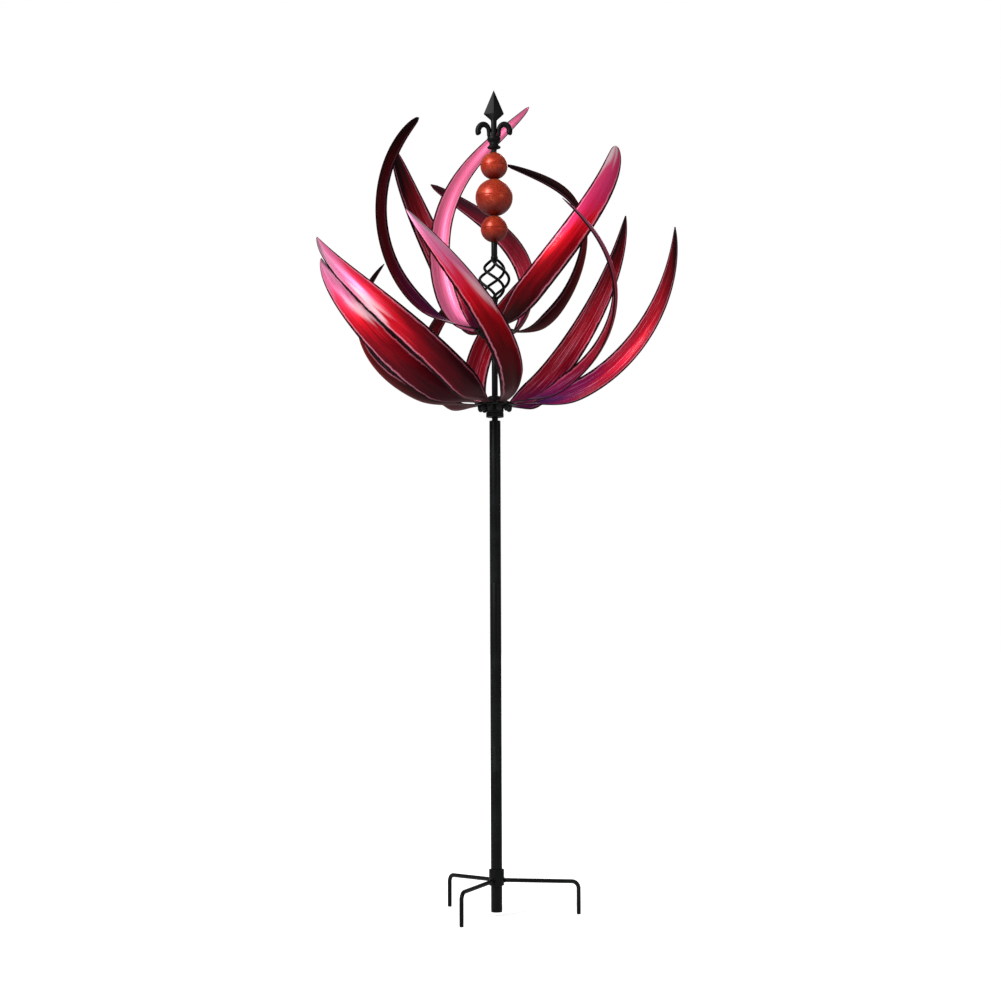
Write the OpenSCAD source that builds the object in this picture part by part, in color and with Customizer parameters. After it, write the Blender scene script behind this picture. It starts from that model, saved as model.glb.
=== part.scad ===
// Kinetic wind sculpture: a ground fork and pole carry two bladed rotors that turn freely,
// one above the other, on one fixed spindle topped by a twisted basket, three balls and a spear.
// Millimetres, +Z up. The origin is on the pole's axis, level with the tips of the fork's legs.

/* [Ground fork] */
// Diameter of the rod that each leg is bent from
leg_d = 7; // [5:0.5:9]
// Distance from the pole's axis to the upright part of a leg
leg_reach = 139; // [100:1:190]
// Height of a leg's upper bend above its tip
leg_height = 55; // [45:1:110]
// Centreline radius of a leg's bend
leg_bend = 12; // [9:1:20]
// Fall of a leg from the collar out to its bend, in degrees
leg_droop = 2; // [0:0.5:6]
// Direction of the first leg, in degrees from +X
leg_turn = 6; // [0:1:119]
// Diameter of the collar that the legs are welded to
collar_d = 25.4; // [23:0.2:32]
// Height of the collar
collar_h = 27; // [20:1:40]

/* [Pole] */
// Outside diameter of the pole's tube
pole_d = 19; // [17:0.5:22]
// Wall of the pole's tube
pole_wall = 1.5; // [1:0.1:2]
// Height of the pole's open foot above the leg tips
pole_foot = 6; // [3:1:30]
// Length of the whole pole
pole_len = 828; // [600:1:1100]
// Length of the sleeve hidden inside each pole joint
sleeve_len = 90; // [60:1:120]
// Length of the plug that closes the pole's top and grips the spindle
plug_len = 40; // [25:1:60]

/* [Spindle and spacers] */
// Diameter of the spindle and of the top rod where the balls are threaded on
spindle_d = 8; // [6.5:0.5:9.6]
// Outside diameter of the spacer sleeves and of the top rod's thick foot
spacer_d = 10.5; // [9.5:0.1:12]
// Visible neck between the pole and the lower hub
neck_h = 6; // [3:0.5:12]
// Length of the spacer sleeve between the two rotors' bearings
rotor_gap = 120; // [90:1:170]
// Length of the spacer sleeve between the upper bearing and the basket
basket_gap = 63; // [45:1:90]

/* [Hubs] */
// Outside diameter of a bearing housing
housing_d = 30; // [28:0.5:34]
// Height of a bearing housing, from its lower rim to the hub plate
housing_h = 20; // [14:1:30]
// Diameter of a hub plate
plate_d = 70; // [66:1:80]
// Thickness of a hub plate
plate_t = 2.5; // [1.5:0.1:4]
// Distance from the axis to the blade bolts
bolt_reach = 25; // [24:0.5:30]
// Diameter of a blade bolt
bolt_d = 6; // [5:0.5:6]
// Diameter of a dust cap on top of a hub
cap_d = 27; // [24:0.5:29]
// Height of a dust cap
cap_h = 14; // [8:1:20]

/* [Ball bearings] */
// Outside diameter of a bearing
bearing_d = 22; // [21:0.2:26.4]
// Width of a bearing
bearing_w = 7; // [6:0.5:8]
// Diameter of a bearing ball
bearing_ball_d = 4; // [3.5:0.1:4.2]
// Number of balls in a bearing
bearing_balls = 7; // [5:1:8]

/* [Blades] */
// Thickness of the blades' sheet
sheet_t = 1.2; // [0.8:0.1:2]
// Width of a blade where it is bolted down
tab_w = 10.6; // [9:0.2:11]
// Greatest width of a lower blade
lower_blade_w = 48; // [36:1:54]
// Greatest width of an upper blade
upper_blade_w = 44; // [32:1:48]
// Depth of a blade's trough as a share of its half width
trough = 0.30; // [0.1:0.02:0.4]
// Roll of a lower blade about its own length, in degrees
lower_roll = -50; // [-70:1:-30]
// Roll of an upper blade about its own length, in degrees
upper_roll = 50; // [30:1:70]
// Bending radius of a lower blade
lower_bend = 272; // [240:1:300]
// Bending radius of an upper blade
upper_bend = 207; // [180:1:220]

/* [Basket] */
// Diameter of a basket wire
wire_d = 5; // [3.5:0.1:5.5]
// Greatest outside diameter of the basket
basket_d = 55; // [40:1:66]
// Height of the basket between its two ferrules
basket_h = 67.5; // [50:0.5:90]
// Turn of each wire from the bottom to the top, in degrees
basket_twist = -225; // [-360:5:-180]
// Height of a ferrule
ferrule_h = 6; // [4:0.5:10]

/* [Balls] */
// Radius of the bottom ball
bottom_ball_r = 23.2; // [18:0.2:28]
// Radius of the middle ball
middle_ball_r = 32; // [25:0.5:38.5]
// Radius of the top ball
top_ball_r = 23.4; // [18:0.2:28]
// Wall of the spun balls
ball_wall = 1.2; // [0.8:0.1:2]
// Length of the top rod's thick foot, from the basket to the bottom ball
rod_foot = 24; // [15:1:40]

/* [Finial] */
// Height of the finial's turned base
finial_base_h = 29; // [24:1:36]
// Height of the spear from the base to its point
spear_h = 79.5; // [60:0.5:100]
// Width of the spear head
spear_w = 34.5; // [26:0.5:42]
// Width across the two scrolls' centrelines
scroll_w = 54; // [46:0.5:66]

/* [Fits] */
// Radial clearance of parts that slide or turn on each other
fit = 0.05; // [0.02:0.01:0.1]
// Radial clearance round a bolt and round a spinning hub's spacer
gap = 0.2; // [0.15:0.05:0.5]

/* [Hidden] */
// Each blade is bent by hand, so each has its own root direction, sweep, ease, rise, change of
// bending radius, upward stretch, change of roll and change of width
LOWER_SET = [
    [-38, -31.1, 3.68, 93.6, -0.9, 1.02, -0.9, 1],
    [13.5, -22, 2.57, 88.5, 5.5, 1.09, -14.9, -10.6],
    [68.2, -32.9, 1.78, 108, -1.4, 1.01, -5.6, 0.3],
    [103.8, -30, 2.48, 94, -5.5, 1.04, 14.5, 3.4],
    [135.1, -36, 1.98, 84, -4, 1.08, 2, 0.1],
    [166.2, -33.4, 2.37, 92.5, -7.9, 1.02, 20, -4],
    [221.4, -33.7, 3.04, 85, -7, 1.01, -8.7, 0.5],
    [252.1, -55.9, 2.14, 89.5, 4.5, 0.99, 0.6, 1.3],
    [286.3, -43.4, 1.62, 89.8, 0.5, 1.03, 10.7, 2.4],
];
UPPER_SET = [
    [33.8, 51.2, 7.5, 97, -25.8, 1.65, 0.2, -1.4],
    [70.8, 48.7, 4.94, 103.3, 1.4, 1.16, -2.4, 6.7],
    [107, 31.3, 2.45, 103.2, 8.6, 1.33, -1.2, 4.2],
    [137.4, -81.1, 4.43, 136.6, -90.5, 2.04, -0.7, -7.1],
    [209.3, 11.9, 1.27, 137.6, -9.3, 0.99, 7.4, -0.3],
    [282, 50.4, 1.54, 108.9, 1.4, 1.06, -2.6, 2],
];
POLE_NAMES = ["lower", "middle", "upper"];
BALL_NAMES = ["bottom", "middle", "top"];

pole_top = pole_foot + pole_len;
section_len = pole_len / len(POLE_NAMES);
pole_bore_r = pole_d / 2 - pole_wall;
leg_end_z = leg_height - leg_bend;
leg_top_z = leg_height + (leg_reach - leg_bend) * tan(leg_droop);
collar_z = leg_top_z - 9;

lower_base_z = pole_top + neck_h;
bearing_recess = 1;
lower_bearing_z = lower_base_z + bearing_recess;
lower_plate_z = lower_base_z + housing_h;
upper_bearing_z = lower_bearing_z + bearing_w + rotor_gap;
upper_base_z = upper_bearing_z - bearing_recess;
upper_plate_z = upper_base_z + housing_h;
basket_z = upper_bearing_z + bearing_w + basket_gap;
basket_top_z = basket_z + 2 * ferrule_h + basket_h;
rod_step_z = basket_top_z + rod_foot;

spindle_r = spindle_d / 2;
spacer_r = spacer_d / 2;
bearing_pitch_r = (bearing_d + spindle_d) / 4;
race_gap = bearing_ball_d * 0.38;
cage_t = 1.2;
cage_h = bearing_w - 1.4;
hub_bore_r = bearing_d / 2 - 2.5;

tab_in = bolt_reach - tab_w / 2;
arc_start = bolt_reach + bolt_d / 2 + 4;
rolled_at = 0.25;
blade_rings = 26;
blade_cols = 6;
tip_half = 0.7;
taper_from = 0.25;
// Length of the widening, power and fullness of the taper of a blade's outline
LOWER_OUTLINE = [0.28, 2.73, 0.76];
UPPER_OUTLINE = [0.35, 3.29, 0.5];

ball_hole_r = spindle_r + gap / 2;
ball_radii = [bottom_ball_r, middle_ball_r, top_ball_r];
function rim_rise(r) = sqrt(r * r - ball_hole_r * ball_hole_r);
function ball_z(i) = i == 0 ? rod_step_z + rim_rise(ball_radii[0])
    : ball_z(i - 1) + rim_rise(ball_radii[i - 1]) + rim_rise(ball_radii[i]);
finial_z = ball_z(2) + rim_rise(top_ball_r);
spear_z = finial_z + finial_base_h;
scroll_start_r = 3.3;
scroll_end_r = 5;
rod_grip = 14;

$fn = 48;

// ---- Shared shapes ----

// A plain tube standing on z
module tube(outer_r, inner_r, z, h) {
    translate([0, 0, z])
        difference() {
            cylinder(r = outer_r, h = h);
            translate([0, 0, -1]) cylinder(r = inner_r, h = h + 2);
        }
}

function unit(v) = v / norm(v);
function ease_in(x) = let (c = min(1, max(0, x))) c * c * (3 - 2 * c);

// Faces of a skin of `rings` rings with an even number of points each; both ends close in strips
function skin_faces(rings, sides) = concat(
    [for (i = [0:rings - 2]) for (j = [0:sides - 1]) let (k = (j + 1) % sides)
        each [[i * sides + j, (i + 1) * sides + j, (i + 1) * sides + k],
              [i * sides + j, (i + 1) * sides + k, i * sides + k]]],
    [for (j = [0:sides / 2 - 2]) let (k = sides - 1 - j)
        each [[j, j + 1, k], [j + 1, k - 1, k]]],
    [for (j = [0:sides / 2 - 2]) let (e = (rings - 1) * sides, k = e + sides - 1 - j)
        each [[e + j, k, e + j + 1], [e + j + 1, k, k - 1]]]
);

// ---- Ground fork ----

module fork_collar() {
    color("#1c1d1f")
        tube(collar_d / 2, pole_d / 2 + fit, collar_z, collar_h);
}

// A leg: an upright, a slightly swollen bend and a straight run that is coped to the collar
module fork_leg(i) {
    turn = 90 - leg_droop;
    run = (leg_reach - leg_bend + leg_bend * cos(turn)) / sin(turn);
    lap = 1;
    color("#1c1d1f")
        rotate([0, 0, leg_turn + 120 * i])
        difference() {
            union() {
                translate([leg_reach, 0, 0]) cylinder(d = leg_d, h = leg_end_z + lap);
                translate([leg_reach - leg_bend, 0, leg_end_z])
                    rotate([90, 0, 0])
                    rotate_extrude(angle = turn)
                    translate([leg_bend, 0]) circle(d = leg_d + 0.3);
                translate([leg_reach - leg_bend, 0, leg_end_z])
                    rotate([0, -turn, 0])
                    translate([leg_bend, 0, -lap])
                    cylinder(d = leg_d, h = run + lap - collar_d / 4);
            }
            translate([0, 0, collar_z - 20]) cylinder(d = collar_d, h = collar_h + 60);
        }
}

// ---- Pole and spindle ----

module pole_section(i) {
    color("#17181a")
        tube(pole_d / 2, pole_bore_r, pole_foot + i * section_len, section_len);
}

// One hidden sleeve lines up each joint between two pole sections
module pole_joint_sleeves() {
    color("#5a5c60")
        for (i = [1:len(POLE_NAMES) - 1])
            tube(pole_bore_r - fit, pole_bore_r - fit - pole_wall,
                 pole_foot + i * section_len - sleeve_len / 2, sleeve_len);
}

module pole_plug() {
    color("#2a2b2d")
        tube(pole_bore_r - fit, spindle_r + fit, pole_top - plug_len, plug_len);
}

module spindle() {
    z = pole_top - plug_len;
    color("#8b8d90")
        translate([0, 0, z]) cylinder(r = spindle_r, h = basket_z + ferrule_h - 1 - z);
}

module spacer(z, h) {
    color("#1a1b1d")
        tube(spacer_r, spindle_r + fit, z, h);
}

// ---- Ball bearings ----

// The raceway that both rings are cut by
module raceway() {
    rotate_extrude()
        translate([bearing_pitch_r, 0]) circle(r = bearing_ball_d / 2 + fit);
}

module bearing_inner_ring(z) {
    color("#b8babd")
        translate([0, 0, z + bearing_w / 2])
        difference() {
            tube(bearing_pitch_r - race_gap, spindle_r + fit, -bearing_w / 2, bearing_w);
            raceway();
        }
}

module bearing_outer_ring(z) {
    color("#b8babd")
        translate([0, 0, z + bearing_w / 2])
        difference() {
            tube(bearing_d / 2, bearing_pitch_r + race_gap, -bearing_w / 2, bearing_w);
            raceway();
        }
}

module at_bearing_balls() {
    for (i = [0:bearing_balls - 1])
        rotate([0, 0, 360 * i / bearing_balls])
        translate([bearing_pitch_r, 0, 0]) children();
}

module bearing_balls(z) {
    color("#d6d8da")
        translate([0, 0, z + bearing_w / 2])
        at_bearing_balls() sphere(d = bearing_ball_d);
}

// Radial pockets hold the balls apart
module bearing_cage(z) {
    color("#c9a860")
        translate([0, 0, z + bearing_w / 2])
        difference() {
            tube(bearing_pitch_r + cage_t / 2, bearing_pitch_r - cage_t / 2, -cage_h / 2, cage_h);
            at_bearing_balls()
                rotate([0, 90, 0])
                cylinder(r = bearing_ball_d / 2 + fit, h = 2 * cage_t, center = true);
        }
}

// ---- Hubs ----

// The housing takes the bearing from below, against a shoulder
module hub_housing(z) {
    color("#1c1d1f")
        translate([0, 0, z])
        difference() {
            cylinder(d = housing_d, h = housing_h);
            translate([0, 0, -1]) cylinder(r = bearing_d / 2 + fit, h = bearing_recess + bearing_w + 1);
            cylinder(r = hub_bore_r, h = housing_h + 1);
        }
}

module at_roots(settings) {
    for (s = settings)
        rotate([0, 0, s[0]]) translate([bolt_reach, 0, 0]) children();
}

module hub_plate(z, settings) {
    color("#202124")
        translate([0, 0, z])
        difference() {
            cylinder(d = plate_d, h = plate_t);
            translate([0, 0, -1]) cylinder(r = hub_bore_r, h = plate_t + 2);
            translate([0, 0, -1]) at_roots(settings) cylinder(r = bolt_d / 2 + gap, h = plate_t + 2);
        }
}

// A turned cap that sits on the plate and keeps rain out of the bearing
module dust_cap(z) {
    r = cap_d / 2;
    color("#1c1d1f")
        translate([0, 0, z])
        rotate_extrude()
        polygon([[spacer_r + gap, cap_h - 3], [hub_bore_r, cap_h - 3], [hub_bore_r, 0], [r, 0],
                 [r, cap_h - 4], [r - 2.5, cap_h - 1], [r - 5, cap_h], [spacer_r + gap, cap_h]]);
}

// Round-headed bolts: each head sits on its blade's tab, each shank ends inside its cap nut
module blade_bolts(z, settings) {
    shank = 6;
    head_r = bolt_d / 2 + 1.9;
    color("#2b2c2f")
        at_roots(settings) {
            translate([0, 0, z - shank]) cylinder(d = bolt_d, h = shank + plate_t + sheet_t + 1);
            translate([0, 0, z + plate_t + sheet_t])
                rotate_extrude()
                polygon([[0, 0], [head_r, 0], [head_r, 1], [head_r - 0.7, 2.2], [head_r - 2.1, 3], [0, 3.2]]);
        }
}

module cap_nuts(z, settings) {
    across = bolt_d + 4;
    hex_h = 5;
    dome_r = across / 2 - 0.3;
    color("#2b2c2f")
        at_roots(settings)
        translate([0, 0, z - hex_h])
        difference() {
            union() {
                cylinder(d = across / cos(30), h = hex_h, $fn = 6);
                rotate_extrude()
                    polygon([[0, -5.5], [dome_r - 2.1, -4.6], [dome_r - 0.5, -2.6], [dome_r, 0],
                             [dome_r, 1], [0, 1]]);
            }
            translate([0, 0, -2]) cylinder(r = bolt_d / 2 + fit, h = hex_h + 3);
        }
}

// ---- Blades ----

// The centreline climbs an arc that starts level with the plate and sweeps round the axis.
// `bend` is the blade's own bending radius.
function blade_point(t, s, bend, z) =
    let (a = s[3] * t,
         r = arc_start + bend * sin(a),
         turn = s[0] + s[1] * pow(t, s[2]))
    [r * cos(turn), r * sin(turn), z + s[5] * bend * (1 - cos(a))];

// Half the blade's width: it widens from the tab and is drawn out to a point
function blade_half(t, w, outline) =
    let (root = tab_w / w,
         widening = root + (1 - root) * ease_in(t / outline[0]),
         far = max(0, (t - taper_from) / (1 - taper_from)))
    max(tip_half, w / 2 * widening * pow(1 - pow(far, outline[1]), outline[2]));

// One closed ring of points round the sheet, outer face first
function blade_ring(c, across, out, half, dish) = concat(
    [for (j = [0:blade_cols]) let (v = 2 * j / blade_cols - 1)
        c + across * half * v + out * (dish * half * (1 - v * v) + sheet_t / 2)],
    [for (j = [blade_cols:-1:0]) let (v = 2 * j / blade_cols - 1)
        c + across * half * v + out * (dish * half * (1 - v * v) - sheet_t / 2)]
);

function arc_ring(t, s, bend, z, w, roll, outline) =
    let (e = 0.004,
         c = blade_point(t, s, bend, z),
         along = unit(blade_point(min(1, t + e), s, bend, z) - blade_point(max(0, t - e), s, bend, z)),
         turn = s[0] + s[1] * pow(t, s[2]),
         a = s[3] * t,
         out_0 = [sin(a) * cos(turn), sin(a) * sin(turn), -cos(a)],
         out_1 = unit(out_0 - along * (out_0 * along)),
         side = cross(along, out_1),
         k = ease_in(t / rolled_at),
         across = side * cos(roll * k) + out_1 * sin(roll * k),
         out = out_1 * cos(roll * k) - side * sin(roll * k))
    blade_ring(c, across, out, blade_half(t, w, outline), trough * k);

function tab_ring(r, half, s, z) =
    blade_ring([r * cos(s[0]), r * sin(s[0]), z], [-sin(s[0]), cos(s[0]), 0], [0, 0, -1], half, 0);

// A pointed trough of sheet with a flat tab, bolted through the tab
module blade(s, plate_z, rotor_bend, rotor_w, rotor_roll, outline) {
    z = plate_z + plate_t + sheet_t / 2;
    bend = rotor_bend + s[4];
    roll = rotor_roll + s[6];
    w = rotor_w + s[7];
    shoulder = tab_in + 2;
    rings = concat([tab_ring(tab_in, tab_w * 0.36, s, z), tab_ring(shoulder, tab_w / 2, s, z),
                    tab_ring((shoulder + arc_start) / 2, tab_w / 2, s, z)],
                   [for (i = [0:blade_rings])
                       arc_ring(i / blade_rings, s, bend, z, w, roll, outline)]);
    difference() {
        polyhedron(points = [for (ring = rings) each ring],
                   faces = skin_faces(len(rings), 2 * (blade_cols + 1)), convexity = 6);
        rotate([0, 0, s[0]])
            translate([bolt_reach, 0, z - sheet_t]) cylinder(r = bolt_d / 2 + gap, h = 2 * sheet_t);
    }
}

module lower_blade(i) {
    color("#b3122a")
        blade(LOWER_SET[i], lower_plate_z, lower_bend, lower_blade_w, lower_roll, LOWER_OUTLINE);
}

module upper_blade(i) {
    color("#c21a3a")
        blade(UPPER_SET[i], upper_plate_z, upper_bend, upper_blade_w, upper_roll, UPPER_OUTLINE);
}

// ---- Basket and top rod ----

module ferrule(z, bored) {
    color("#1a1b1d")
        translate([0, 0, z])
        difference() {
            cylinder(r = spacer_r + 1, h = ferrule_h);
            if (bored)
                translate([0, 0, -1]) cylinder(r = spindle_r + fit, h = ferrule_h);
        }
}

// A basket wire runs from the lower ferrule to the upper one on a bulging helix
function wire_point(t, i) =
    let (near = wire_d / sqrt(2) + 0.1,
         r = near + (basket_d / 2 - wire_d / 2 - near) * pow(sin(180 * t), 0.85),
         turn = 90 * i + 20 + basket_twist * t)
    [r * cos(turn), r * sin(turn), basket_z + ferrule_h + basket_h * t];

function wire_ring(t, i, sides) =
    let (e = 0.004,
         c = wire_point(t, i),
         along = unit(wire_point(min(1, t + e), i) - wire_point(max(0, t - e), i)),
         side = unit(cross([0, 0, 1], [c[0], c[1], 0])),
         b = unit(side - along * (side * along)),
         n = cross(b, along))
    [for (j = [0:sides - 1]) let (a = 360 * j / sides) c + wire_d / 2 * (n * cos(a) + b * sin(a))];

module basket_wires() {
    rings = 30;
    sides = 8;
    color("#1a1b1d")
        for (i = [0:3])
            intersection() {
                polyhedron(points = [for (k = [0:rings]) each wire_ring(k / rings, i, sides)],
                           faces = skin_faces(rings + 1, sides), convexity = 6);
                translate([0, 0, basket_z + ferrule_h]) cylinder(d = basket_d + 10, h = basket_h);
            }
}

// The thick foot carries the bottom ball; the thin part passes through the balls into the finial
module top_rod() {
    color("#1a1b1d") {
        translate([0, 0, basket_top_z]) cylinder(r = spacer_r, h = rod_foot);
        translate([0, 0, rod_step_z]) cylinder(r = spindle_r, h = finial_z + rod_grip - 1 - rod_step_z);
    }
}

// ---- Balls ----

// Half of a spun ball; the two halves meet in a fine groove at the equator
module ball_half(i, upper) {
    r = ball_radii[i];
    color("#b5341c")
        translate([0, 0, ball_z(i)])
        mirror([0, 0, upper ? 0 : 1])
        difference() {
            sphere(r = r, $fn = 72);
            sphere(r = r - ball_wall, $fn = 72);
            translate([0, 0, -r - 1]) cylinder(r = r + 1, h = r + 1);
            cylinder(r = ball_hole_r, h = r + 1);
            rotate_extrude($fn = 72) translate([r + 0.1, 0]) circle(r = 0.5, $fn = 16);
        }
}

// ---- Finial ----

module finial_base() {
    h = finial_base_h;
    neck = spindle_r + 0.6;
    color("#141416")
        translate([0, 0, finial_z])
        difference() {
            rotate_extrude()
                polygon([[0, 0], [neck + 0.3, 0], [neck, 3], [neck + 0.4, 6], [11.2, 8], [12, 9.5], [10.8, 11],
                         [neck + 3.6, 13], [neck + 2.9, 15.5], [neck + 3.6, 18], [10.5, 20], [11.5, 22.5],
                         [11.5, h - 4], [11, h - 1], [10.2, h], [0, h]]);
            translate([0, 0, -1]) cylinder(r = spindle_r + fit, h = rod_grip + 1);
        }
}

// A round stem that carries a flattened four-sided head
module finial_spear() {
    stem_r = 5;
    head_z = spear_z + spear_h - 52;
    wide_z = head_z + 11;
    deep = 8;
    color("#141416") {
        translate([0, 0, spear_z]) cylinder(r = stem_r, h = head_z + 4 - spear_z);
        polyhedron(
            points = [[5.6, 0, head_z], [0, 4.6, head_z], [-5.6, 0, head_z], [0, -4.6, head_z],
                      [spear_w / 2, 0, wide_z], [0, deep, wide_z], [-spear_w / 2, 0, wide_z],
                      [0, -deep, wide_z], [0, 0, spear_z + spear_h]],
            faces = concat([[0, 1, 2, 3]],
                           [for (j = [0:3]) let (k = (j + 1) % 4)
                               each [[j, j + 4, k + 4], [j, k + 4, k], [j + 4, 8, k + 4]]]));
    }
}

// A scroll rises beside the stem, curls over and ends in a blunt drop
function scroll_point(t) =
    let (start = 8.6, rise = 9, out = (scroll_w / 2 - start) / 2, lift = 11.5,
         a = 180 - 215 * (t - 0.2) / 0.8)
    t < 0.2 ? [start, 0, spear_z + rise * t / 0.2]
        : [start + out + out * cos(a), 0, spear_z + rise + lift * sin(a)];
function scroll_radius(t) = t > 0.94 ? scroll_end_r * sqrt(1 - pow((t - 0.94) / 0.075, 2))
    : scroll_start_r + (scroll_end_r - scroll_start_r) * ease_in(t / 0.6);

function scroll_ring(t, sides) =
    let (e = 0.01,
         along = unit(scroll_point(min(1, t + e)) - scroll_point(max(0, t - e))),
         n = cross([0, 1, 0], along))
    [for (j = [0:sides - 1]) let (a = 360 * j / sides)
        scroll_point(t) + scroll_radius(t) * (n * cos(a) + [0, 1, 0] * sin(a))];

module finial_scrolls() {
    rings = 26;
    sides = 12;
    color("#141416")
        for (side = [0, 180])
            rotate([0, 0, side])
            polyhedron(points = [for (k = [0:rings]) each scroll_ring(k / rings, sides)],
                       faces = skin_faces(rings + 1, sides), convexity = 6);
}

// ---- Nodes ----

fork_collar();
for (i = [0:2])
    fork_leg(i);
for (i = [0:len(POLE_NAMES) - 1])
    pole_section(i);
pole_joint_sleeves();
pole_plug();
spindle();
spacer(pole_top, neck_h + bearing_recess);  // neck_spacer
spacer(lower_bearing_z + bearing_w, rotor_gap);  // middle_spacer
spacer(upper_bearing_z + bearing_w, basket_gap);  // upper_spacer
bearing_inner_ring(lower_bearing_z);  // lower_bearing_inner_ring
bearing_inner_ring(upper_bearing_z);  // upper_bearing_inner_ring
bearing_outer_ring(lower_bearing_z);  // lower_bearing_outer_ring
bearing_outer_ring(upper_bearing_z);  // upper_bearing_outer_ring
bearing_cage(lower_bearing_z);  // lower_bearing_cage
bearing_cage(upper_bearing_z);  // upper_bearing_cage
bearing_balls(lower_bearing_z);  // lower_bearing_balls
bearing_balls(upper_bearing_z);  // upper_bearing_balls
hub_housing(lower_base_z);  // lower_hub_housing
hub_housing(upper_base_z);  // upper_hub_housing
hub_plate(lower_plate_z, LOWER_SET);  // lower_hub_plate
hub_plate(upper_plate_z, UPPER_SET);  // upper_hub_plate
dust_cap(lower_plate_z + plate_t);  // lower_hub_dust_cap
dust_cap(upper_plate_z + plate_t);  // upper_hub_dust_cap
blade_bolts(lower_plate_z, LOWER_SET);  // lower_blade_bolts
blade_bolts(upper_plate_z, UPPER_SET);  // upper_blade_bolts
cap_nuts(lower_plate_z, LOWER_SET);  // lower_blade_cap_nuts
cap_nuts(upper_plate_z, UPPER_SET);  // upper_blade_cap_nuts
for (i = [0:len(LOWER_SET) - 1])
    lower_blade(i);
for (i = [0:len(UPPER_SET) - 1])
    upper_blade(i);
ferrule(basket_z, true);  // basket_lower_ferrule
basket_wires();
ferrule(basket_z + ferrule_h + basket_h, false);  // basket_upper_ferrule
top_rod();
for (i = [0:2])
    ball_half(i, false);
for (i = [0:2])
    ball_half(i, true);
finial_base();
finial_spear();
finial_scrolls();
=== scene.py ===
"""Looks of the kinetic wind sculpture: a forked pole, two rotors of pointed steel blades, a twisted
basket, three crackled balls and a cast spear, in metres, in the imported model's own frame."""
import math

import bpy
import numpy as np
from mathutils import Matrix, Vector


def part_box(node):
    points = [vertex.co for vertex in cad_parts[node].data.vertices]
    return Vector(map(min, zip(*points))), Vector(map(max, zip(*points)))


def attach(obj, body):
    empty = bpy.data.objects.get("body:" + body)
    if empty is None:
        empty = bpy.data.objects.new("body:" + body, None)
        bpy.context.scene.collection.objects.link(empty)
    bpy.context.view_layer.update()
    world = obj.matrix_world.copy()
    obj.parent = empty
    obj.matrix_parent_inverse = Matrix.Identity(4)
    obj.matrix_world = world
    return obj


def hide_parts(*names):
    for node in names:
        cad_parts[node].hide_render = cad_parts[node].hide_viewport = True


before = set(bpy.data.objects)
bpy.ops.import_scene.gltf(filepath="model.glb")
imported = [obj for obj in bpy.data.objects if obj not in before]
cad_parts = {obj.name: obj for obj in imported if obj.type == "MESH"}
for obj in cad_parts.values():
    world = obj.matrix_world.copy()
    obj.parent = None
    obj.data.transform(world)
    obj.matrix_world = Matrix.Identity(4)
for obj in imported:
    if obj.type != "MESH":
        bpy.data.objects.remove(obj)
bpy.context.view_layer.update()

MM = 0.001
TAU = 2 * math.pi

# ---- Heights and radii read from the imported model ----


def low(node):
    """Lowest height of a node."""
    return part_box(node)[0].z


def high(node):
    """Greatest height of a node."""
    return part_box(node)[1].z


def radius(node):
    """Outer radius of a node that is round about the axis."""
    corner_low, corner_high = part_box(node)
    return (corner_high.x - corner_low.x) / 2


# ---- Sizes of the blades, legs, basket and scrolls (degrees and metres) ----
SHEET = 1.2 * MM
PLATE_R = radius("lower_hub_plate")
BOLT_REACH = 25 * MM
ARC_START = BOLT_REACH + 7 * MM
TAB_WIDTH = 10.6 * MM
TROUGH = 0.30
ROLLED_AT = 0.25
TAPER_FROM = 0.25
BEND = {"lower": 272 * MM, "upper": 207 * MM}
WIDTH = {"lower": 48 * MM, "upper": 44 * MM}
ROLL = {"lower": -50, "upper": 50}
LEG_R, LEG_BEND, LEG_REACH, LEG_HEIGHT = 3.5 * MM, 12 * MM, 139 * MM, 55 * MM
LEG_TURN, LEG_DROOP = 6, math.radians(2)
WIRE_R, WIRE_START, WIRE_TWIST = 2.5 * MM, 20, -225
SCROLL_WIDTH, SCROLL_START, SCROLL_RISE, SCROLL_LIFT = 54 * MM, 8.6 * MM, 9 * MM, 11.5 * MM
SCROLL_THIN_R, SCROLL_THICK_R = 3.3 * MM, 5.0 * MM
# length of the widening, power and fullness of the taper
OUTLINE = {"lower": (0.28, 2.73, 0.76), "upper": (0.35, 3.29, 0.5)}
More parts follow.
